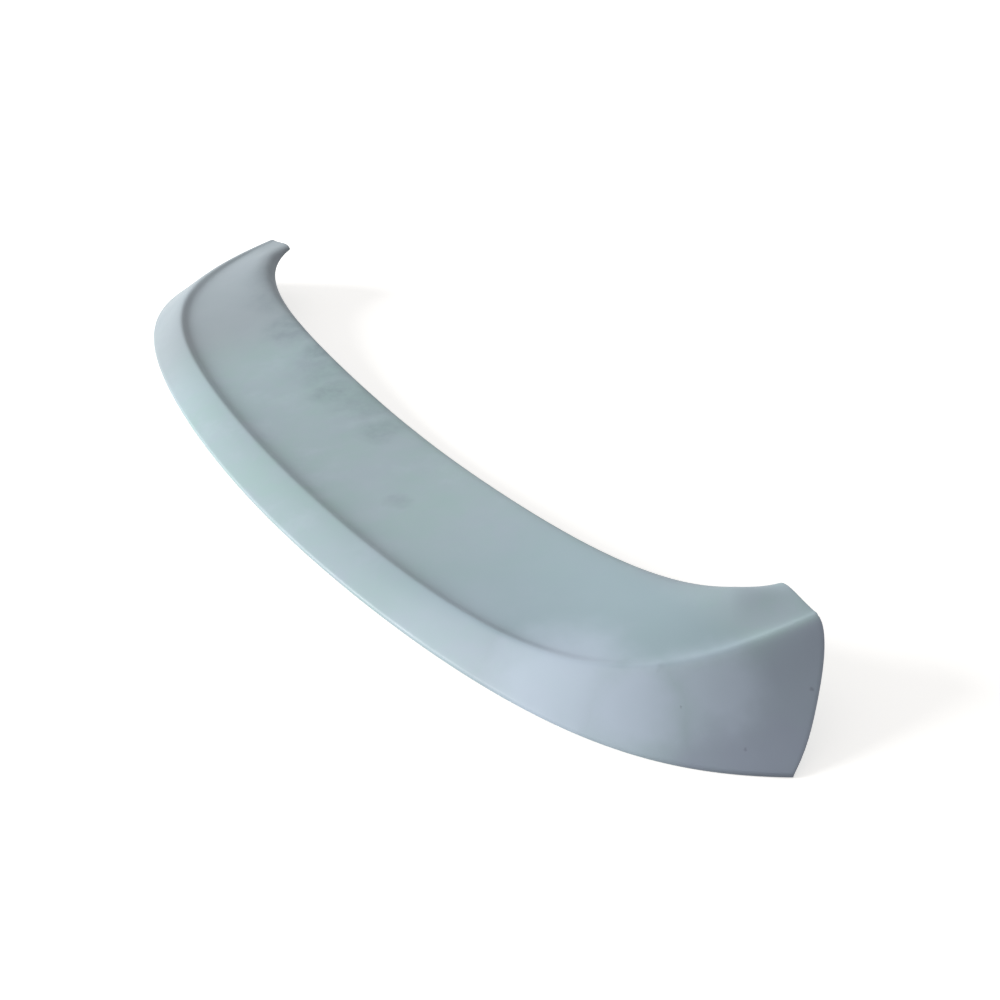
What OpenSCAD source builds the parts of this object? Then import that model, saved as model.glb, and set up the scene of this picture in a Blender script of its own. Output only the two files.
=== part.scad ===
// Rear spoiler for a boot lid: one moulded shell, open underneath, lying on its
// bonding flange. Millimetres. X runs across the car, Y points to the front of the
// car and Z up. The origin is on the middle plane, in the middle of the width of the
// flange's underside. The shell is drawn from the rear edge and moved there last.

/* [Outline] */
// Half the width over the two rear corners of the base
base_half = 618; // [560:2:680]
// How far the rear corners of the base stand in front of the middle of the rear edge
base_sweep = 187; // [150:1:220]
// Half the width over the two ends of the ridge
ridge_half = 542; // [500:1:570]
// Distance from the rear edge to the ridge, on the middle plane
ridge_mid_y = 42; // [36:0.5:60]
// Distance from the rear edge to the ends of the ridge, measured to the front
ridge_tip_y = 277; // [240:1:310]
// Half the width over the two front points of the arms
front_half = 491; // [460:1:520]
// Depth of the spoiler on the middle plane, from rear edge to front edge
front_mid_y = 206; // [180:1:230]
// Distance from the rear edge to the front points of the arms
front_tip_y = 281; // [270:1:320]

/* [Heights] */
// Height of the ridge on the middle plane
ridge_mid_z = 20; // [18:1:40]
// Height of the ridge at its ends
ridge_tip_z = 73.5; // [60:0.5:90]
// Height of the front edge on the middle plane
front_mid_z = 20; // [14:0.5:40]
// Height of the front edge at the points of the arms
front_tip_z = 73.5; // [60:0.5:90]

/* [Skin] */
// Thickness of the moulded skin
wall = 3; // [2.5:0.1:3.5]
// Height of the upright edge of the flange, seen as a thin line all round the rear
land = 3; // [2.6:0.1:4]
// Width of the bonding flange that the rear face stands on
flange_w = 20; // [16:1:26]
// Thickness of the flange at its inner edge
flange_t = 2.4; // [1.8:0.1:2.6]
// How far the front edge rolls down on the middle plane
roll_mid = 4; // [2:0.5:8]
// How far the front edge rolls down along the arms
roll_arm = 11; // [6:0.5:16]
// How far the front edge rolls down at the points of the arms
roll_tip = 5; // [2:0.5:10]
// Width of that roll on the middle plane
roll_w_mid = 12; // [8:1:20]
// Width of that roll along the arms
roll_w_arm = 30; // [16:1:40]
// Hollow of the deck between front edge and lip, which fades out to the ends
deck_sag = 3; // [0:0.5:5]
// Height of the lip above the deck, on the middle plane
lip_mid = 6; // [4:0.5:10]
// Height of the lip above the deck, along the arms, before it runs out
lip_tip = 1.5; // [0:0.5:6]
// Width of the slope on the inner side of the lip
lip_w = 9; // [7:1:18]
// Roundness of the ridge on its inner side
crest_in = 5; // [3:0.5:8]
// Roundness of the ridge on its outer side, on the middle plane
crest_mid = 6; // [4:0.5:8]
// Roundness of the ridge on its outer side, at the ends
crest_tip = 15; // [10:1:20]
// Outward swell of the rear face on the middle plane
swell_mid = 2; // [0:0.5:4]
// Outward swell of the rear face at the corners
swell_tip = 1; // [0:0.5:7]
// How far the cut end of the rear face bows forward
end_bow = 11; // [0:1:16]

/* [Ribs] */
// Thickness of a rib at its free edge
rib_t = 2; // [1.6:0.2:2.6]
// Extra thickness of a rib at its root, on each side
rib_draft = 0.4; // [0.2:0.1:0.6]
// Depth of a rib below the inner skin
rib_d = 10; // [6:1:12]
// Gap kept between a rib and the surface underneath the spoiler
rib_clear = 5; // [4:0.5:6]

/* [Screw bosses] */
// Outside diameter of a boss
boss_d = 16; // [14:1:18]
// Bore of a boss, for a 6 mm thread-forming screw
bore_d = 5; // [4.6:0.1:5.6]
// Depth of the bore
bore_l = 10; // [8:0.5:11]
// Distance of the inner pair of bosses from the middle plane
boss_x1 = 150; // [140:5:170]
// Distance of the inner pair of bosses from the rear edge
boss_y1 = 112; // [100:1:124]
// Distance of the middle pair of bosses from the middle plane
boss_x2 = 320; // [310:5:340]
// Distance of the middle pair of bosses from the rear edge
boss_y2 = 124; // [114:1:134]
// Distance of the outer pair of bosses from the middle plane
boss_x3 = 460; // [450:5:470]
// Distance of the outer pair of bosses from the rear edge
boss_y3 = 172; // [160:1:180]

/* [Hidden] */
half_steps = 30;                 // stations along each half of the span
K = 22;                          // steps of the outer skin from front edge to flange
rib_steps = [3, 9, 15, 21, 26];  // station gaps that carry a rib, on each half
Z = [0, 0, 1];

// Each edge is one Bezier curve per half: the middle, three handles, the tip.
// The handles keep their share of the way from the middle to the tip.
function edge(mid_y, mid_z, tip, fx, fy, fz) = [
    [0, mid_y, mid_z],
    for (i = [0:2]) [fx[i] * tip.x, mid_y + fy[i] * (tip.y - mid_y), mid_z + fz[i] * (tip.z - mid_z)],
    tip];

front_edge = edge(front_mid_y, front_mid_z, [front_half, front_tip_y, front_tip_z],
                  [0.29, 0.64, 0.92], [-0.02, -0.02, -0.10], [0, 0.44, 0.58]);
ridge_edge = edge(ridge_mid_y, ridge_mid_z, [ridge_half, ridge_tip_y, ridge_tip_z],
                  [0.475, 0.84, 0.95], [0, 0.155, 0.175], [0, 0.08, 0.41]);
base_edge = edge(0, 0, [base_half, base_sweep, 0],
                 [0.41, 0.75, 0.88], [0, 0.24, 0.39], [0, 0, 0]);

function mix(a, b, t) = a + (b - a) * t;
function clamp01(t) = min(1, max(0, t));
function ease(a, b, t) = let (s = clamp01((t - a) / (b - a))) s * s * (3 - 2 * s);
function unit(v) = v / norm(v);
function bez(p, t) = let (s = 1 - t)
    s*s*s*s*p[0] + 4*s*s*s*t*p[1] + 6*s*s*t*t*p[2] + 4*s*t*t*t*p[3] + t*t*t*t*p[4];

// Clamped cubic B-spline through a list of control points, v from 0 to 1
function knot(n, i) = i < 4 ? 0 : i > n - 1 ? n - 3 : i - 3;
function blend(c, n, i, j, r, x) = r == 0 ? c[j] :
    let (k0 = knot(n, j), k1 = knot(n, j + 4 - r), a = k1 > k0 ? (x - k0) / (k1 - k0) : 0)
    (1 - a) * blend(c, n, i, j - 1, r - 1, x) + a * blend(c, n, i, j, r - 1, x);
function spline(c, v) = let (n = len(c), x = (n - 3) * v, i = min(floor(x), n - 4) + 3)
    blend(c, n, i, i, 3, x);

// The free end is not a straight cut: it bows forward below the ridge, and its
// lowest corner is rounded. The span is stretched or shortened a little to suit.
function end_reach(v) = 1
    + end_bow / 650 * sin(180 * ease(0.62, 1.16, v))
    - 0.010 * pow(clamp01((v - 0.93) / 0.07), 3);

// Control points of one section, t from 0 on the middle plane to 1 at the end
function section(t) = let (
    f = bez(front_edge, t), r = bez(ridge_edge, t), b = bez(base_edge, t) + land * Z,
    l1 = norm(r - f), e1 = (r - f) / l1, n1 = unit(Z - e1.z * e1),
    l2 = norm(b - r), e2 = (b - r) / l2, n2 = unit(Z - e2.z * e2),
    w = ease(0.3, 1, t), arm = ease(0.4, 0.85, t), end = ease(0.88, 1, t), k = min(1, l1 / 110),
    rh = mix(mix(roll_mid, roll_arm, arm), roll_tip, end), rw = mix(roll_w_mid, roll_w_arm, arm) * k,
    lh = mix(lip_mid, lip_tip, w) * (1 - end), lw = lip_w * k, sag = deck_sag * (1 - w) * k,
    cr = mix(crest_mid, crest_tip, w), sw = mix(swell_mid, swell_tip, w))
    [f,
     f + 0.7 * rh * n1 + 0.2 * rw * e1,
     f + rh * n1 + 0.8 * rw * e1,
     f + (0.6 * rh - sag) * n1 + 0.45 * l1 * e1,
     r - 2.2 * lw * e1 - lh * n1,
     r - lw * e1 - 0.75 * lh * n1,
     r - 0.45 * crest_in * e1 + 0.12 * crest_in * n1,
     r + 0.45 * cr * e2 + 0.12 * cr * n2,
     r + (cr + 0.3 * (l2 - cr)) * e2 + sw * n2,
     r + 0.75 * l2 * e2 + 0.6 * sw * n2,
     b];

// A point of the outer skin: u from -1 to 1 along the span, v from front to flange
function skin(u, v) = let (p = spline(section(abs(u) * end_reach(v)), v)) [u < 0 ? -p.x : p.x, p.y, p.z];
function base(u) = let (p = bez(base_edge, abs(u) * end_reach(1))) [u < 0 ? -p.x : p.x, p.y, 0];
function normal_at(u, v) = let (
    a = skin(min(1, u + 0.01), v) - skin(max(-1, u - 0.01), v),
    b = skin(u, min(1, v + 0.01)) - skin(u, max(0, v - 0.01)),
    n = unit(cross(b, a))) n;
function inward(u) = let (d = base(min(1, u + 0.01)) - base(max(-1, u - 0.01))) unit([-d.y, d.x, 0]);

// Stations along the span: [u, 1 on a rib or 0 between ribs]
function rib_half(u) = let (s = norm(skin(u + 0.01, 0.3) - skin(u - 0.01, 0.3)) / 0.02)
    [0.5 * rib_t / s, (0.5 * rib_t + rib_draft) / s];
function rib_set(u) = let (h = rib_half(u)) [[u - h[1], 0], [u - h[0], 1], [u + h[0], 1], [u + h[1], 0]];
function has_rib(g) = len(search(g < 0 ? -g - 1 : g, rib_steps)) > 0;
stations = [
    for (g = [-half_steps:half_steps - 1])
        each concat([[g / half_steps, 0]], has_rib(g) ? rib_set((g + 0.5) / half_steps) : []),
    [1, 0]];

// How much of a rib's depth stands at step j: none at the front edge and the flange
function rib_share(j) = ease(1, 5, j) * (1 - ease(K - 6, K - 2, j));
function under(p, n, s, j) = let (q = p - wall * n, low = min(q.z, rib_clear))
    [q.x, q.y, s == 0 ? q.z : max(low, q.z - rib_d * rib_share(j))];

// One closed ring: outer skin down to the flange, then back under the inner skin
function ring(u, s) = let (
    o = [for (j = [0:K]) skin(u, j / K)],
    n = [for (j = [0:K - 2]) normal_at(u, j / K)],
    b = base(u), d = inward(u), top = flange_t + 0.5,
    run = norm([o[K - 2].x - b.x, o[K - 2].y - b.y]), rise = (o[K - 2].z - land) / run,
    foot = (top - land + wall * sqrt(1 + rise * rise)) / rise)
    concat(o, [b, b + flange_w * d, b + flange_w * d + flange_t * Z, b + min(foot, flange_w - 8) * d + top * Z],
           [for (j = [K - 2:-1:0]) under(o[j], n[j], s, j)]);

rings = [for (s = stations) ring(s[0], s[1])];
nr = len(rings);
m = len(rings[0]);
skin_points = [for (r = rings) each r];

// Both ends are closed between the outer and the inner run of the ring
cap = [for (j = [0:K]) each [[j, j + 1, m - 1 - j], [j + 1, m - 2 - j, m - 1 - j]]];
skin_faces = concat(
    [for (i = [0:nr - 2], k = [0:m - 1]) let (a = i * m + k, b = i * m + (k + 1) % m, c = b + m, d = a + m)
        each (2 * i < nr - 1 ? [[a, c, b], [a, d, c]] : [[a, d, b], [b, d, c]])],
    [for (f = cap) f],
    [for (f = cap) [for (q = [2:-1:0]) f[q] + (nr - 1) * m]]);

// The place on the deck straight above a point of the base plane, found by halving
function over_u(x, v, lo = 0, hi = 1, n = 18) = n == 0 ? (lo + hi) / 2 :
    let (c = (lo + hi) / 2) skin(c, v).x < x ? over_u(x, v, c, hi, n - 1) : over_u(x, v, lo, c, n - 1);
function over(x, y, lo = 0.1, hi = 0.55, n = 16) = let (c = (lo + hi) / 2, u = over_u(x, c))
    n == 0 ? [u, c] : skin(u, c).y > y ? over(x, y, c, hi, n - 1) : over(x, y, lo, c, n - 1);

module shell() polyhedron(points = skin_points, faces = skin_faces, convexity = 12);

// A boss stands on the base plane; its top is cut along the middle of the skin
module boss(at) {
    w = over(at.x, at.y);
    p = skin(w[0], w[1]);
    n = normal_at(w[0], w[1]);
    ax = unit(cross([0, 1, 0], n));
    ay = cross(n, ax);
    q = p - 0.55 * wall * n;
    intersection() {
        translate([p.x, p.y, 0]) cylinder(d = boss_d, h = p.z + 20, $fn = 48);
        multmatrix([[ax.x, ay.x, n.x, q.x], [ax.y, ay.y, n.y, q.y], [ax.z, ay.z, n.z, q.z], [0, 0, 0, 1]])
            translate([-60, -60, -150]) cube([120, 120, 150]);
    }
}

module bore(at) translate([at.x, at.y, -1]) cylinder(d = bore_d, h = bore_l + 1, $fn = 48);

module both_sides() {
    children();
    mirror([1, 0, 0]) children();
}

bosses = [[boss_x1, boss_y1], [boss_x2, boss_y2], [boss_x3, boss_y3]];

module spoiler() color([0.64, 0.71, 0.75]) translate([0, -flange_w / 2, 0])
    difference() {
        union() {
            shell();
            both_sides() for (b = bosses) boss(b);
        }
        both_sides() for (b = bosses) bore(b);
    }

spoiler();
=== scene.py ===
"""The looks of the rear spoiler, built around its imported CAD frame.

The moulding is drawn again from the same edge curves and sections as in the CAD source, with many
more stations, small radii on its edges, drafted ribs and chamfered bosses. Curves are worked out in
millimetres from the rear edge, as in the source, and turned into metres in the shared frame at the
end. The material, the floor, the camera and the light follow.
"""

import math

import bmesh
import bpy
import numpy as np
from mathutils import Matrix, Vector


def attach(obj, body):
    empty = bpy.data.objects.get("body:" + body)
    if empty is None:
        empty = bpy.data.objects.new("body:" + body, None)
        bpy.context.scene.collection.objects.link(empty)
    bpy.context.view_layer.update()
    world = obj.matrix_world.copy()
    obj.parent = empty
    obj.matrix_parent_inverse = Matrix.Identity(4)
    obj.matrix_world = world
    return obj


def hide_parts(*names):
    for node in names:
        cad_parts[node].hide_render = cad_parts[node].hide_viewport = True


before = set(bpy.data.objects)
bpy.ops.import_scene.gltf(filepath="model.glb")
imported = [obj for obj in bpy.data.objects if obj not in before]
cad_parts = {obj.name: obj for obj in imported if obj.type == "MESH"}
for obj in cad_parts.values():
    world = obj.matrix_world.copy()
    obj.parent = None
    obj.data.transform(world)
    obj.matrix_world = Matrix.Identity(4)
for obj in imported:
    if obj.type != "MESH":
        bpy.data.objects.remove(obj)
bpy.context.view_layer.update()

# Outline and heights, in millimetres, as in the source
BASE_HALF, BASE_SWEEP = 618, 187
RIDGE_HALF, RIDGE_MID_Y, RIDGE_TIP_Y = 542, 42, 277
FRONT_HALF, FRONT_MID_Y, FRONT_TIP_Y = 491, 206, 281
RIDGE_MID_Z, RIDGE_TIP_Z = 20, 73.5
FRONT_MID_Z, FRONT_TIP_Z = 20, 73.5

# Skin
WALL, LAND, FLANGE_W, FLANGE_T = 3, 3, 20, 2.4
ROLL_MID, ROLL_ARM, ROLL_TIP = 4, 11, 5
ROLL_W_MID, ROLL_W_ARM = 12, 30
DECK_SAG = 3
LIP_MID, LIP_TIP, LIP_W = 6, 1.5, 9
CREST_IN, CREST_MID, CREST_TIP = 5, 6, 15
SWELL_MID, SWELL_TIP = 2, 1
END_BOW = 11
HALF_LENGTH = 650       # about the length of one half, along its curve
FULL_RUN = 110          # where the deck is narrower than this, its roll, lip and sag narrow too

# Ribs and bosses
RIB_T, RIB_DRAFT, RIB_D, RIB_CLEAR = 2, 0.4, 10, 5
BOSS_D, BORE_D, BORE_L = 16, 5, 10
BOSSES = ((150, 112), (320, 124), (460, 172))

# The source's own steps, which say where the ribs stand
HALF_STEPS, SKIN_STEPS = 30, 22
RIB_STEPS = (3, 9, 15, 21, 26)

# Finer steps and small radii for the looks
FINE_HALF = 150         # stations along each half
FINE_SKIN = 84          # steps of the outer skin
FINE_INNER = 70         # steps of the inner skin
EDGE_R = 0.8            # radius on the free edges, at the front and at both ends
LOW_R = 2.5             # radius between the rear face and the upright edge of the flange
CORNER_R = 0.4          # radius on the flange's lower corner
TOE_R = 0.6             # radius on both corners of the flange's inner edge
HEEL_R = 1.5            # radius where the flange meets the inner skin
HEEL_RISE = 0.5         # how much thicker the flange is there than at its inner edge
TOE_RUN = 8             # least width of the flange inside that place
CHAMFER_W, CHAMFER_D = 0.5, 0.6     # chamfer at the mouth of a bore
RIM_R = 0.6             # rounding on the rim of a boss
BOSS_SIDES = 64
HEAD_SINK = 0.55        # how deep a boss ends in the skin, as a share of the wall
SHARP_EDGE = 32         # edges that turn by more degrees than this are shaded sharp
NUDGE = 0.01            # step along u or v for slopes
ROUNDS = 24             # halvings in a search for a place on the skin
UP = np.array([0, 0, 1.0])

# Soft dark patches of painted shade, mostly on the left half near the front edge, where the deck rolls
# down away from the lamp: place on the deck, radius, strength
SHADE_PATCHES = (((-0.226, 0.185, 0.035), 0.034, 1.0), ((-0.133, 0.156, 0.025), 0.038, 0.9),
           ((-0.022, 0.161, 0.022), 0.036, 0.7), ((-0.300, 0.182, 0.041), 0.050, 0.9),
           ((-0.090, 0.180, 0.024), 0.060, 0.6), ((-0.190, 0.172, 0.032), 0.060, 0.6),
           ((0.120, 0.105, 0.019), 0.020, 0.6), ((0.505, 0.133, 0.045), 0.007, 0.45),
           ((-0.425, 0.225, 0.063), 0.055, 0.8), ((-0.380, 0.195, 0.053), 0.050, 0.7))
# Paler patches of painted light on the rear face: place, radius, strength
LIT_PATCHES = (((0.450, 0.070, 0.025), 0.090, 0.8), ((0.510, 0.100, 0.028), 0.060, 0.9),
          ((0.330, 0.020, 0.015), 0.100, 0.2), ((0.540, 0.160, 0.040), 0.055, 0.7))
# Small dark specks on the rear face and the right end: place, radius
SPECKS = (((0.581, 0.226, 0.040), 0.0026), ((0.585, 0.156, 0.014), 0.0020),
          ((0.534, 0.132, 0.030), 0.0014))
SPECK_STRENGTH = 0.4

# Colours of the primer
GREEN_GREY = (0.310, 0.430, 0.430, 1)
BLUE_GREY = (0.345, 0.410, 0.470, 1)
PALE_GREY = (0.385, 0.485, 0.520, 1)
# painted shade: the right arm's deck, and the left arm all round
RIGHT_ARM_SHADE = (0.275, 0.372, 0.408, 1)
LEFT_ARM_SHADE = (0.285, 0.332, 0.356, 1)
# painted shade on the face of the right end
END_FACE_SHADE = (0.305, 0.355, 0.430, 1)
# painted light on the rear face
LIT_PATCH_COLOR = (0.440, 0.520, 0.610, 1)
# painted shade near the front edge
SHADE_PATCH_COLOR = (0.185, 0.240, 0.265, 1)
SPECK_COLOR = (0.13, 0.14, 0.17, 1)

# Floor, in metres
FLOOR_HALF = 30
FLOOR_DROP = 0.0005     # keeps it just clear of the underside
FLOOR_PLAIN = (0.45, 0.45, 0.45, 1)     # for the light that it throws back on the object
FLOOR_SEEN = (0.80, 0.80, 0.765, 1)     # for the camera, with a glow added
FLOOR_GLOW = (1, 1, 0.985, 1)
GLOW_NEAR, GLOW_FAR = 0.57, 1.0
RISE_FROM, RISE_TO = 1.2, 2.6           # the glow rises between these distances

# Camera, found by fitting the object's outline to the photograph
EYE = (1.09999, -0.41389, 0.66972)
CAMERA_RIGHT = (0.5420, 0.8402, 0.0146)
CAMERA_DOWN = (0.4321, -0.2638, -0.8624)
SENSOR, LENS = 36, 45.256

# Light
LAMP_PLACE, LAMP_AIM = (-2.5, -4.3, 1.50), (0, 0.1, 0)
LAMP_SIZE, LAMP_POWER = 3.0, 412
SOFT_COLOR = (1, 0.97, 1, 1)
SOFT_STRONG, SOFT_WEAK = 0.90, 0.04
WEAK_SIDE = (0.80, -0.60, 0)            # the soft light is weakest from here


# Curves of the moulding
def edge(mid_y, mid_z, tip, fx, fy, fz):
    """Five control points of one edge of the right half."""
    points = [(0, mid_y, mid_z)]
    for x, y, z in zip(fx, fy, fz):
        points.append((x * tip[0], mid_y + y * (tip[1] - mid_y), mid_z + z * (tip[2] - mid_z)))
    return np.array(points + [tip], float)


FRONT_EDGE = edge(FRONT_MID_Y, FRONT_MID_Z, (FRONT_HALF, FRONT_TIP_Y, FRONT_TIP_Z),
                  (0.29, 0.64, 0.92), (-0.02, -0.02, -0.10), (0, 0.44, 0.58))
RIDGE_EDGE = edge(RIDGE_MID_Y, RIDGE_MID_Z, (RIDGE_HALF, RIDGE_TIP_Y, RIDGE_TIP_Z),
                  (0.475, 0.84, 0.95), (0, 0.155, 0.175), (0, 0.08, 0.41))
BASE_EDGE = edge(0, 0, (BASE_HALF, BASE_SWEEP, 0), (0.41, 0.75, 0.88), (0, 0.24, 0.39), (0, 0, 0))


def mix(a, b, t):
    return a + (b - a) * t


def ease(a, b, t):
    """0 before a, 1 after b, and a smooth rise between them."""
    s = np.clip((t - a) / (b - a), 0, 1)
    return s * s * (3 - 2 * s)


def unit(v):
    return v / np.linalg.norm(v, axis=-1, keepdims=True)


def bez(points, t):
    """The Bezier curve of five control points."""
    t = np.asarray(t, float)[..., None]
    s = 1 - t
    weights = (s**4, 4 * s**3 * t, 6 * s**2 * t**2, 4 * s * t**3, t**4)
    return sum(w * p for w, p in zip(weights, points))


def spline_weights(n, v):
    """Weights of the n control points of a clamped cubic B-spline at v, from 0 to 1."""
    knots = np.concatenate([[0] * 3, np.arange(n - 2), [n - 3] * 3]).astype(float)
    x = np.clip(np.asarray(v, float) * (n - 3), 0, n - 3 - 1e-9)
    w = [((knots[i] <= x) & (x < knots[i + 1])).astype(float) for i in range(n + 3)]
    for degree in (1, 2, 3):
        raised = []
        for i in range(n + 3 - degree):
            left = knots[i + degree] - knots[i]
            right = knots[i + degree + 1] - knots[i + 1]
            a = w[i] * (x - knots[i]) / left if left else 0 * x
            b = w[i + 1] * (knots[i + degree + 1] - x) / right if right else 0 * x
            raised.append(a + b)
        w = raised
    return np.stack(w, -1)


def end_reach(v):
    """The free end bows forward below the ridge, and its lowest corner is rounded."""
    bow = END_BOW / HALF_LENGTH * np.sin(math.pi * ease(0.62, 1.16, v))
    return 1 + bow - 0.010 * np.clip((v - 0.93) / 0.07, 0, 1) ** 3


def section(t):
    """Control points of the section at t, from 0 on the middle plane to 1 at the end."""
    front = bez(FRONT_EDGE, t)
    ridge = bez(RIDGE_EDGE, t)
    low = bez(BASE_EDGE, t) + LAND * UP

    # directions along the deck and down the rear face, and away from each
    deck_run = np.linalg.norm(ridge - front, axis=-1, keepdims=True)
    face_run = np.linalg.norm(low - ridge, axis=-1, keepdims=True)
    back = (ridge - front) / deck_run
    down = (low - ridge) / face_run
    off_deck = unit(UP - back[..., 2:] * back)
    off_face = unit(UP - down[..., 2:] * down)

    # how the sizes change from the middle to the arm and its end
    outer = ease(0.3, 1, t)[..., None]
    arm = ease(0.4, 0.85, t)[..., None]
    end = ease(0.88, 1, t)[..., None]
    narrow = np.minimum(1, deck_run / FULL_RUN)
    roll = mix(mix(ROLL_MID, ROLL_ARM, arm), ROLL_TIP, end)
    roll_w = mix(ROLL_W_MID, ROLL_W_ARM, arm) * narrow
    lip = mix(LIP_MID, LIP_TIP, outer) * (1 - end)
    lip_w = LIP_W * narrow
    sag = DECK_SAG * (1 - outer) * narrow
    crest = mix(CREST_MID, CREST_TIP, outer)
    swell = mix(SWELL_MID, SWELL_TIP, outer)
    return np.stack([
        front,
        front + 0.7 * roll * off_deck + 0.2 * roll_w * back,
        front + roll * off_deck + 0.8 * roll_w * back,
        front + (0.6 * roll - sag) * off_deck + 0.45 * deck_run * back,
        ridge - 2.2 * lip_w * back - lip * off_deck,
        ridge - lip_w * back - 0.75 * lip * off_deck,
        ridge - 0.45 * CREST_IN * back + 0.12 * CREST_IN * off_deck,
        ridge + 0.45 * crest * down + 0.12 * crest * off_face,
        ridge + (crest + 0.3 * (face_run - crest)) * down + swell * off_face,
        ridge + 0.75 * face_run * down + 0.6 * swell * off_face,
        low], -2)


def skin(u, v):
    """Points of the outer skin: u from -1 to 1 along the span, v from the front edge to the flange."""
    u, v = np.broadcast_arrays(np.asarray(u, float), np.asarray(v, float))
    p = np.einsum("...k,...kc->...c", spline_weights(11, v), section(np.abs(u) * end_reach(v)))
    p[..., 0] = np.where(u < 0, -p[..., 0], p[..., 0])
    return p


def base(u):
    """Points of the line on which the moulding stands."""
    u = np.asarray(u, float)
    p = bez(BASE_EDGE, np.abs(u) * end_reach(1.0))
    p[..., 0] = np.where(u < 0, -p[..., 0], p[..., 0])
    p[..., 2] = 0
    return p


def normal_at(u, v):
    a = skin(np.minimum(1, u + NUDGE), v) - skin(np.maximum(-1, u - NUDGE), v)
    b = skin(u, np.minimum(1, v + NUDGE)) - skin(u, np.maximum(0, v - NUDGE))
    return unit(np.cross(b, a))


def inward(u):
    """The level direction from the base line to the inside."""
    d = base(np.minimum(1, u + NUDGE)) - base(np.maximum(-1, u - NUDGE))
    return unit(np.stack([-d[..., 1], d[..., 0], 0 * d[..., 0]], -1))


def metres(points):
    """From the source's drawing place to the shared frame."""
    return (np.asarray(points, float) - [0, FLANGE_W / 2, 0]) / 1000


# Mesh of the moulding
def stations():
    """Places along the span: u, 1 on a rib, and how far the place lies back from the end and shrinks.

    Each rib has its own close stations. At both ends the wall closes in over a small round.
    """
    places = [(u, 0, 0, 0) for u in np.linspace(-1, 1, 2 * FINE_HALF + 1)[1:-1]]
    for middle in [side * (step + 0.5) / HALF_STEPS for side in (-1, 1) for step in RIB_STEPS]:
        speed = np.linalg.norm(skin(middle + NUDGE, 0.3) - skin(middle - NUDGE, 0.3)) / (2 * NUDGE)
        root = (0.5 * RIB_T + RIB_DRAFT) / speed
        tip = 0.5 * RIB_T / speed
        places = [place for place in places if abs(place[0] - middle) > root + 0.0005]
        places += [(middle - root, 0, 0, 0), (middle + root, 0, 0, 0)]
        places += [(middle - tip, 1, 0, 0), (middle, 1, 0, 0), (middle + tip, 1, 0, 0)]
    places.sort()
    turn = np.radians([0, 22.5, 45, 67.5, 90])
    close = [(EDGE_R * (1 - math.sin(a)), EDGE_R * (1 - math.cos(a))) for a in turn]
    right = [(1, 0, back, shrink) for back, shrink in close]
    left = [(-1, 0, back, shrink) for back, shrink in close[::-1]]
    return left + places + right


def rib_share(step):
    """How deep a rib is at a step of the skin, as a share of its full depth."""
    return ease(1, 5, step) * (1 - ease(SKIN_STEPS - 6, SKIN_STEPS - 2, step))


def arc(a, corner, b, steps):
    """Points of a small round from a to b that replaces a corner, for whole rows at once."""
    shares = np.linspace(0, 1, steps + 1)
    return [(1 - q) ** 2 * a + 2 * q * (1 - q) * corner + q * q * b for q in shares]


def toward(a, b, r):
    return a + r * unit(b - a)


def v_near(u, v_end, r):
    """The v at which the skin is r away from its edge at v_end."""
    v = np.full(len(u), v_end + (0.02 if v_end == 0 else -0.02))
    for _ in range(6):
        d = np.linalg.norm(skin(u, v) - skin(u, np.full(len(u), v_end)), axis=-1)
        v = v_end + (v - v_end) * r / d
    return v


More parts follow.
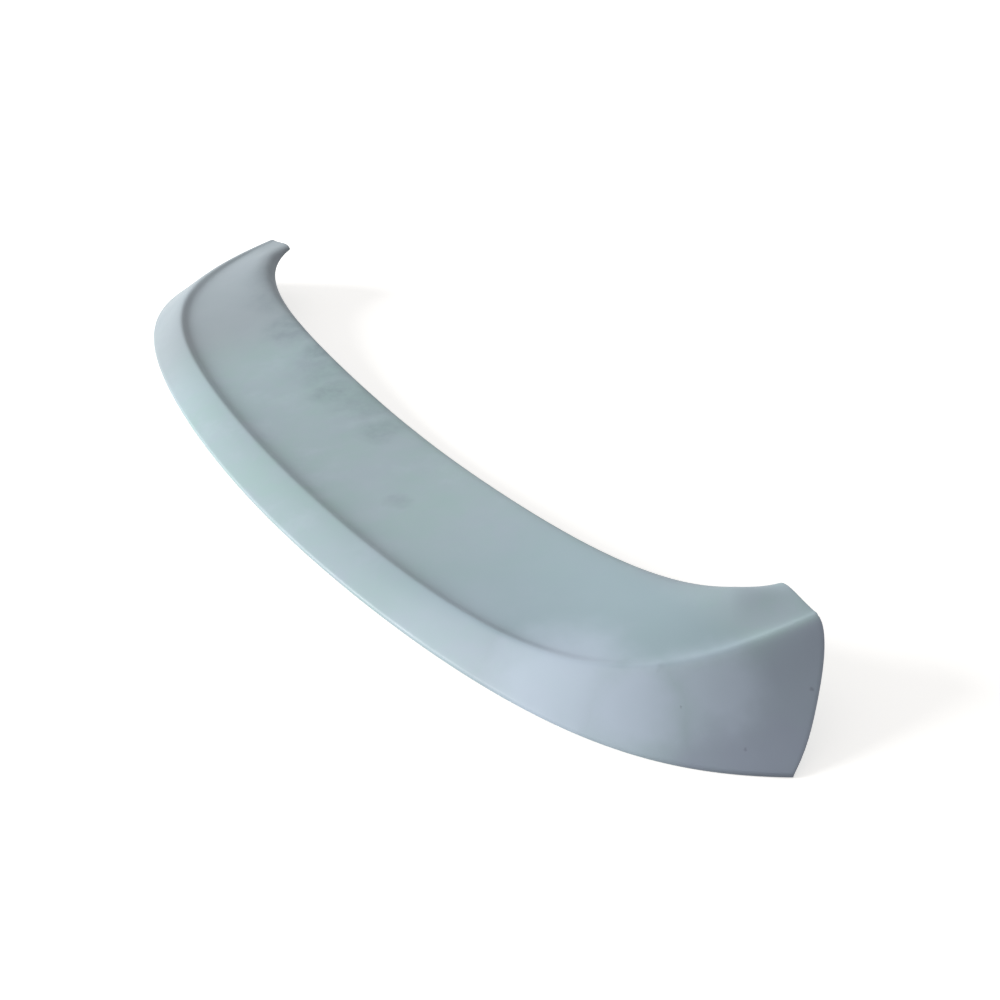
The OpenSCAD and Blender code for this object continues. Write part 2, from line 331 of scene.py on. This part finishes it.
def rings():
    """One closed ring of points per station, as an array of stations by points."""
    u, rib, back, shrink = np.array(stations(), float).T

    def at(v):
        # the place along the span, brought back from the end by a distance in millimetres, with
        # the slope taken just inside the end
        v = np.broadcast_to(v, (len(u), v.shape[-1]))
        full = np.broadcast_to(u[:, None], v.shape)
        inside = 0.999 * full
        speed = np.linalg.norm(skin(inside, v) - skin(inside - NUDGE * full, v), axis=-1) / NUDGE
        return full * (1 - back[:, None] / np.where(np.abs(full) < 1, 1e9, speed)), v

    # outer and inner skin, with the ribs hanging from the inner one
    v_low = v_near(u, 1, LOW_R)
    v_front = v_near(u, 0, EDGE_R)
    v_inner = (SKIN_STEPS - 2) / SKIN_STEPS
    shares = np.linspace(0, 1, FINE_SKIN + 1)[None, :]
    uo, vo = at(v_front[:, None] + (v_low - v_front)[:, None] * shares)
    outer = skin(uo, vo) - shrink[:, None, None] * normal_at(uo, vo)
    shares = np.linspace(0, 1, FINE_INNER + 1)[None, :]
    ui, vi = at(v_front[:, None] + (v_inner - v_front)[:, None] * shares)
    inner = skin(ui, vi) - (WALL - shrink)[:, None, None] * normal_at(ui, vi)
    z = inner[..., 2]
    deepest = np.maximum(np.minimum(z, RIB_CLEAR), z - RIB_D * rib_share(vi * SKIN_STEPS))
    inner[..., 2] = np.where(rib[:, None] > 0, deepest, z)

    # front edge and low edge of the outer skin
    uf, vf = at(np.array([[0.0, 1.0]]))
    tip = skin(uf, vf)
    tip_normal = normal_at(uf, vf)
    front_out = tip[:, 0] - shrink[:, None] * tip_normal[:, 0]
    front_in = tip[:, 0] - (WALL - shrink)[:, None] * tip_normal[:, 0]
    low = tip[:, 1] - shrink[:, None] * tip_normal[:, 1]

    # flange
    b = base(uf[:, 1])
    d = inward(uf[:, 1])
    top = FLANGE_T + HEEL_RISE
    knee = skin(ui, vi)[:, -1]
    run = np.linalg.norm(knee[:, :2] - b[:, :2], axis=-1)
    rise = (knee[:, 2] - LAND) / run
    foot = (top - LAND + WALL * np.sqrt(1 + rise * rise)) / rise
    lift = shrink[:, None] * UP
    heel = b + np.minimum(foot, FLANGE_W - TOE_RUN)[:, None] * d + top * UP - lift
    toe = b + FLANGE_W * d + lift
    toe_top = b + FLANGE_W * d + FLANGE_T * UP - lift
    b = b + shrink[:, None] * d + lift

    rows = [outer[:, j] for j in range(FINE_SKIN)]
    rows += arc(outer[:, -1], low, toward(low, b, LOW_R), 6)
    rows += arc(toward(b, low, CORNER_R), b, toward(b, toe, CORNER_R), 2)
    rows += arc(toward(toe, b, TOE_R), toe, toward(toe, toe_top, TOE_R), 2)
    rows += arc(toward(toe_top, toe, TOE_R), toe_top, toward(toe_top, heel, TOE_R), 2)
    rows += arc(toward(heel, toe_top, HEEL_R), heel, toward(heel, inner[:, -1], HEEL_R), 3)
    rows += [inner[:, j] for j in range(FINE_INNER, 0, -1)]
    rows += arc(inner[:, 0], front_in, toward(front_in, front_out, EDGE_R), 4)
    rows += arc(toward(front_out, front_in, EDGE_R), front_out, outer[:, 0], 4)[:-1]
    points = np.stack(rows, 1)
    points[..., 2] = np.maximum(points[..., 2], 0)
    return points


def make_mesh(name, points, faces):
    """A new object in the scene, in metres."""
    mesh = bpy.data.meshes.new(name)
    mesh.from_pydata([tuple(p) for p in points], [], [tuple(int(i) for i in f) for f in faces])
    mesh.validate()
    obj = bpy.data.objects.new(name, mesh)
    bpy.context.scene.collection.objects.link(obj)
    return obj


def turn_outwards(obj, cut=False):
    """Turns the faces outwards. With cut, those of more than four corners become triangles."""
    bm = bmesh.new()
    bm.from_mesh(obj.data)
    if cut:
        large = [face for face in bm.faces if len(face.verts) > 4]
        bmesh.ops.triangulate(bm, faces=large, ngon_method="EAR_CLIP")
    bmesh.ops.recalc_face_normals(bm, faces=bm.faces)
    bm.to_mesh(obj.data)
    bm.free()


def shell():
    """The rings joined by quads, with the two free ends closed."""
    points = rings()
    n, m = points.shape[:2]
    faces = []
    for i in range(n - 1):
        for k in range(m):
            a = i * m + k
            b = i * m + (k + 1) % m
            faces.append((a, a + m, b + m, b))
    faces.append(tuple(range(m)))
    faces.append(tuple(range(n * m - 1, (n - 1) * m - 1, -1)))
    obj = make_mesh("moulding", metres(points.reshape(-1, 3)), faces)
    turn_outwards(obj, cut=True)
    return obj


def deck_at(x, y):
    """The point of the skin straight above a place of the base plane, with its normal."""
    lo, hi = 0.1, 0.55
    for _ in range(ROUNDS):
        v = 0.5 * (lo + hi)
        a, b = 0.0, 1.0
        for _ in range(ROUNDS):
            u = 0.5 * (a + b)
            a, b = (u, b) if skin(u, v)[0] < x else (a, u)
        lo, hi = (v, hi) if skin(u, v)[1] > y else (lo, v)
    return skin(u, v), normal_at(u, v)


def boss(x, y, side):
    """A screw boss with a blind bore. Its head is cut along the slope of the deck, inside the skin."""
    p, n = deck_at(x, y)
    q = p - HEAD_SINK * WALL * n
    turn = np.arange(BOSS_SIDES) * 2 * math.pi / BOSS_SIDES
    r, hole = BOSS_D / 2, BORE_D / 2
    # radius and height, from the bore's end out over the rim and up to the head
    profile = [(hole, BORE_L), (hole, CHAMFER_D), (hole + CHAMFER_W, 0), (r - RIM_R, 0),
               (r - 0.3 * RIM_R, 0.3 * RIM_R), (r, RIM_R), (r, None)]
    points, faces = [], []
    for radius, z in profile:
        for a in turn:
            px, py = x + radius * math.cos(a), y + radius * math.sin(a)
            head = q[2] - (n[0] * (px - q[0]) + n[1] * (py - q[1])) / n[2]
            points.append((px, py, head if z is None else z))
    for i in range(len(profile) - 1):
        for k in range(BOSS_SIDES):
            a = i * BOSS_SIDES + k
            b = i * BOSS_SIDES + (k + 1) % BOSS_SIDES
            faces.append((a, a + BOSS_SIDES, b + BOSS_SIDES, b))
    faces.append(tuple(range(BOSS_SIDES)))
    faces.append(tuple(range(len(points) - 1, len(points) - 1 - BOSS_SIDES, -1)))
    obj = make_mesh("boss", metres(points) * [side, 1, 1], faces)
    turn_outwards(obj)
    return obj


def moulding():
    """The shell with its six bosses, as one closed mesh."""
    obj = shell()
    for x, y in BOSSES:
        for side in (-1, 1):
            added = boss(x, y, side)
            join = obj.modifiers.new("boss", "BOOLEAN")
            join.operation = "UNION"
            join.solver = "MANIFOLD"
            join.object = added
            bpy.context.view_layer.update()
            joined = obj.evaluated_get(bpy.context.evaluated_depsgraph_get())
            mesh = bpy.data.meshes.new_from_object(joined)
            obj.modifiers.clear()
            obj.data = mesh
            bpy.data.objects.remove(added)
    obj.data.name = "moulding"
    obj.data.materials.clear()
    for polygon in obj.data.polygons:
        polygon.use_smooth = True
        polygon.material_index = 0
    obj.data.set_sharp_from_angle(angle=math.radians(SHARP_EDGE))
    return obj


# Material
class Graph:
    """Short ways to add nodes to one material."""

    def __init__(self, material):
        self.nodes, self.links = material.node_tree.nodes, material.node_tree.links
        coordinates = self.nodes.new("ShaderNodeTexCoord")
        self.place = coordinates.outputs["Object"]
        self.normal = coordinates.outputs["Normal"]

    def put(self, socket, value):
        """Links a node's output, or sets a plain value."""
        if isinstance(value, bpy.types.NodeSocket):
            self.links.new(value, socket)
        else:
            socket.default_value = value

    def parts(self, vector):
        """The X, Y and Z of a vector."""
        node = self.nodes.new("ShaderNodeSeparateXYZ")
        self.links.new(vector, node.inputs[0])
        return node.outputs

    def noise(self, scale, detail=3.0, rough=0.5):
        node = self.nodes.new("ShaderNodeTexNoise")
        self.links.new(self.place, node.inputs["Vector"])
        node.inputs["Scale"].default_value = scale
        node.inputs["Detail"].default_value = detail
        node.inputs["Roughness"].default_value = rough
        return node.outputs

    def span(self, value, a, b, low=0.0, high=1.0):
        """From low to high in a smooth step, while the value goes from a to b."""
        node = self.nodes.new("ShaderNodeMapRange")
        node.interpolation_type = "SMOOTHSTEP"
        names = ("Value", "From Min", "From Max", "To Min", "To Max")
        for name, v in zip(names, (value, a, b, low, high)):
            self.put(node.inputs[name], v)
        return node.outputs["Result"]

    def calc(self, kind, a, b):
        node = self.nodes.new("ShaderNodeMath")
        node.operation = kind
        self.put(node.inputs[0], a)
        self.put(node.inputs[1], b)
        return node.outputs[0]

    def tint(self, share, a, b):
        """Colour a with a share of colour b."""
        node = self.nodes.new("ShaderNodeMix")
        node.data_type = "RGBA"
        self.put(node.inputs["Factor"], share)
        self.put(node.inputs[6], a)
        self.put(node.inputs[7], b)
        return node.outputs[2]

    def near(self, place, radius, strength, where):
        """A soft round patch: strength at the place, nothing beyond the radius."""
        node = self.nodes.new("ShaderNodeVectorMath")
        node.operation = "DISTANCE"
        self.links.new(where, node.inputs[0])
        node.inputs[1].default_value = place
        return self.span(node.outputs["Value"], radius, 0.25 * radius, 0.0, strength)

    def shifted(self, scale, amount):
        """The place on the object, pushed about by noise so that patches get uneven edges."""
        push = self.nodes.new("ShaderNodeVectorMath")
        push.operation = "MULTIPLY_ADD"
        self.links.new(self.noise(scale)["Color"], push.inputs[0])
        push.inputs[1].default_value = (amount, amount, amount)
        self.links.new(self.place, push.inputs[2])
        back = self.nodes.new("ShaderNodeVectorMath")
        back.operation = "SUBTRACT"
        self.links.new(push.outputs[0], back.inputs[0])
        back.inputs[1].default_value = (amount / 2, amount / 2, amount / 2)
        return back.outputs[0]

    def bump(self, height, distance):
        node = self.nodes.new("ShaderNodeBump")
        node.inputs["Strength"].default_value = 0.5
        node.inputs["Distance"].default_value = distance
        self.links.new(height, node.inputs["Height"])
        return node


def primer():
    """Matt grey primer: uneven colour, painted shade on the arms, the right end and near the front
    edge, paler patches of painted light on the rear face, a few specks and a fine orange peel.
    """
    material = bpy.data.materials.new("primer")
    material.use_nodes = True
    g = Graph(material)
    shader = g.nodes["Principled BSDF"]
    place = g.parts(g.place)
    x, y = place["X"], place["Y"]
    slope = g.parts(g.normal)["Z"]

    # green-grey in the middle, bluer towards both ends, and cloudy all over
    side = g.calc("MAXIMUM", g.span(x, 0.0, 0.4, 0.0, 0.6), g.span(x, -0.25, -0.5))
    cloud = g.span(g.noise(9, 4, 0.55)["Fac"], 0.38, 0.62)
    patch = g.span(g.noise(30, 3, 0.6)["Fac"], 0.40, 0.60)
    blue = g.calc("ADD", g.calc("MULTIPLY", side, 0.45), g.calc("MULTIPLY", cloud, 0.36))
    blue = g.calc("ADD", blue, g.calc("MULTIPLY", patch, 0.24))
    color = g.tint(blue, GREEN_GREY, BLUE_GREY)
    pale = g.span(g.noise(17, 5, 0.62)["Fac"], 0.5, 0.72, 0.0, 0.35)
    color = g.tint(pale, color, PALE_GREY)

    # painted shade: the right arm's deck is a little darker, the left arm darker and warmer all round
    level = g.span(slope, 0.86, 0.95)
    right_arm_shade = g.calc("MULTIPLY", g.span(x, 0.12, 0.40, 0.0, 0.8), g.span(y, 0.220, 0.180))
    color = g.tint(g.calc("MULTIPLY", level, right_arm_shade), color, RIGHT_ARM_SHADE)
    color = g.tint(g.span(x, -0.22, -0.38, 0.0, 0.85), color, LEFT_ARM_SHADE)

    # the face of the right end is a darker lavender grey of painted shade, with paler patches of
    # painted light beside it
    across = g.calc("ADD", x, g.calc("MULTIPLY", y, 0.15))
    end = g.calc("MULTIPLY", g.span(across, 0.548, 0.590), g.span(slope, 0.95, 0.85))
    color = g.tint(g.calc("MULTIPLY", end, g.span(cloud, 0, 1, 0.8, 1.0)), color, END_FACE_SHADE)
    uneven = g.shifted(38, 0.03)
    # paler patches of painted light on the rear face
    painted_light = 0.0
    for spot, radius, strength in LIT_PATCHES:
        painted_light = g.calc("MAXIMUM", painted_light, g.near(spot, radius, strength, uneven))
    color = g.tint(painted_light, color, LIT_PATCH_COLOR)

    # patches of painted shade, and specks
    painted_shade = 0.0
    for spot, radius, strength in SHADE_PATCHES:
        painted_shade = g.calc("MAXIMUM", painted_shade, g.near(spot, radius, strength, uneven))
    streaky = g.span(g.noise(60, 4, 0.6)["Fac"], 0.3, 0.7, 0.2, 0.55)
    color = g.tint(g.calc("MULTIPLY", painted_shade, streaky), color, SHADE_PATCH_COLOR)
    rough_edge = g.shifted(420, 0.003)
    speck = 0.0
    for spot, radius in SPECKS:
        speck = g.calc("MAXIMUM", speck, g.near(spot, radius, SPECK_STRENGTH, rough_edge))
    color = g.tint(speck, color, SPECK_COLOR)
    g.put(shader.inputs["Base Color"], color)

    # satin to matt, a little duller on the patches of painted shade
    rough = g.span(g.noise(22, 4, 0.6)["Fac"], 0.3, 0.7, 0.44, 0.56)
    g.put(shader.inputs["Roughness"], g.calc("ADD", rough, g.calc("MULTIPLY", painted_shade, 0.08)))
    shader.inputs["Specular IOR Level"].default_value = 0.4

    # long soft waves in the skin, with orange peel on top
    wave = g.bump(g.noise(24, 2, 0.4)["Fac"], 0.0006)
    peel = g.bump(g.noise(650, 2, 0.5)["Fac"], 0.00006)
    g.links.new(wave.outputs["Normal"], peel.inputs["Normal"])
    g.links.new(peel.outputs["Normal"], shader.inputs["Normal"])
    return material


# Stage
def backdrop_share(nodes, links):
    """1 for rays that see the background itself, 0 for those that light the object."""
    path = nodes.new("ShaderNodeLightPath")
    share = path.outputs["Is Camera Ray"]
    for kind in ("Is Glossy Ray", "Is Transmission Ray"):
        either = nodes.new("ShaderNodeMath")
        either.operation = "MAXIMUM"
        links.new(share, either.inputs[0])
        links.new(path.outputs[kind], either.inputs[1])
        share = either.outputs[0]
    return share


def ramp(nodes, links, value, a, b, low, high):
    """From low to high in a straight line, while the value goes from a to b."""
    node = nodes.new("ShaderNodeMapRange")
    links.new(value, node.inputs["Value"])
    for name, v in zip(("From Min", "From Max", "To Min", "To Max"), (a, b, low, high)):
        node.inputs[name].default_value = v
    return node.outputs["Result"]


def floor():
    """A plain white floor that keeps the object's shadow."""
    corners = [(-1, -1, 0), (1, -1, 0), (1, 1, 0), (-1, 1, 0)]
    obj = make_mesh("floor", np.array(corners, float) * FLOOR_HALF, [(0, 1, 2, 3)])
    obj.location.z = -FLOOR_DROP
    material = bpy.data.materials.new("floor")
    material.use_nodes = True
    nodes, links = material.node_tree.nodes, material.node_tree.links
    nodes.remove(nodes["Principled BSDF"])
    plain = nodes.new("ShaderNodeBsdfDiffuse")
    plain.inputs["Color"].default_value = FLOOR_PLAIN
    seen = nodes.new("ShaderNodeBsdfDiffuse")
    seen.inputs["Color"].default_value = FLOOR_SEEN

    # the lamp's light fades far from the object, and there the glow alone makes the floor white
    glow = nodes.new("ShaderNodeEmission")
    glow.inputs["Color"].default_value = FLOOR_GLOW
    far = nodes.new("ShaderNodeVectorMath")
    far.operation = "LENGTH"
    links.new(nodes.new("ShaderNodeTexCoord").outputs["Object"], far.inputs[0])
    rise = ramp(nodes, links, far.outputs["Value"], RISE_FROM, RISE_TO, GLOW_NEAR, GLOW_FAR)
    links.new(rise, glow.inputs["Strength"])

    add = nodes.new("ShaderNodeAddShader")
    links.new(glow.outputs[0], add.inputs[0])
    links.new(seen.outputs[0], add.inputs[1])
    pick = nodes.new("ShaderNodeMixShader")
    links.new(backdrop_share(nodes, links), pick.inputs[0])
    links.new(plain.outputs[0], pick.inputs[1])
    links.new(add.outputs[0], pick.inputs[2])
    links.new(pick.outputs[0], nodes["Material Output"].inputs["Surface"])
    obj.data.materials.append(material)


def camera():
    """The photograph's viewpoint."""
    right = Vector(CAMERA_RIGHT).normalized()
    forward = right.cross(Vector(CAMERA_DOWN)).normalized()
    up = right.cross(forward).normalized()
    data = bpy.data.cameras.new("camera")
    data.sensor_width = SENSOR
    data.lens = LENS
    data.clip_start = 0.01
    data.clip_end = 100
    obj = bpy.data.objects.new("camera", data)
    bpy.context.scene.collection.objects.link(obj)
    turn = Matrix((right, up, -forward)).transposed()
    obj.matrix_world = Matrix.Translation(EYE) @ turn.to_4x4()
    bpy.context.scene.camera = obj


def lamp():
    """A large soft lamp from the rear left."""
    data = bpy.data.lights.new("key", "AREA")
    data.shape = "DISK"
    data.size = LAMP_SIZE
    data.energy = LAMP_POWER
    obj = bpy.data.objects.new("key", data)
    bpy.context.scene.collection.objects.link(obj)
    obj.location = LAMP_PLACE
    aim = Vector(LAMP_AIM) - Vector(LAMP_PLACE)
    obj.rotation_euler = aim.to_track_quat("-Z", "Y").to_euler()


def soft_light():
    """Soft light all round, weaker from the rear right, and a white background."""
    world = bpy.data.worlds.new("world")
    world.use_nodes = True
    nodes, links = world.node_tree.nodes, world.node_tree.links
    along = nodes.new("ShaderNodeVectorMath")
    along.operation = "DOT_PRODUCT"
    links.new(nodes.new("ShaderNodeTexCoord").outputs["Generated"], along.inputs[0])
    along.inputs[1].default_value = WEAK_SIDE
    soft = nodes["Background"]
    soft.inputs["Color"].default_value = SOFT_COLOR
    strength = ramp(nodes, links, along.outputs["Value"], -1, 1, SOFT_STRONG, SOFT_WEAK)
    links.new(strength, soft.inputs["Strength"])
    white = nodes.new("ShaderNodeBackground")
    white.inputs["Color"].default_value = (1, 1, 1, 1)
    white.inputs["Strength"].default_value = 1
    pick = nodes.new("ShaderNodeMixShader")
    links.new(backdrop_share(nodes, links), pick.inputs[0])
    links.new(soft.outputs[0], pick.inputs[1])
    links.new(white.outputs[0], pick.inputs[2])
    links.new(pick.outputs[0], nodes["World Output"].inputs["Surface"])
    bpy.context.scene.world = world


moulded = moulding()
moulded.data.materials.append(primer())
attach(moulded, "root")
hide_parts("spoiler")
floor()
camera()
lamp()
soft_light()
bpy.context.scene.view_settings.view_transform = "Standard"
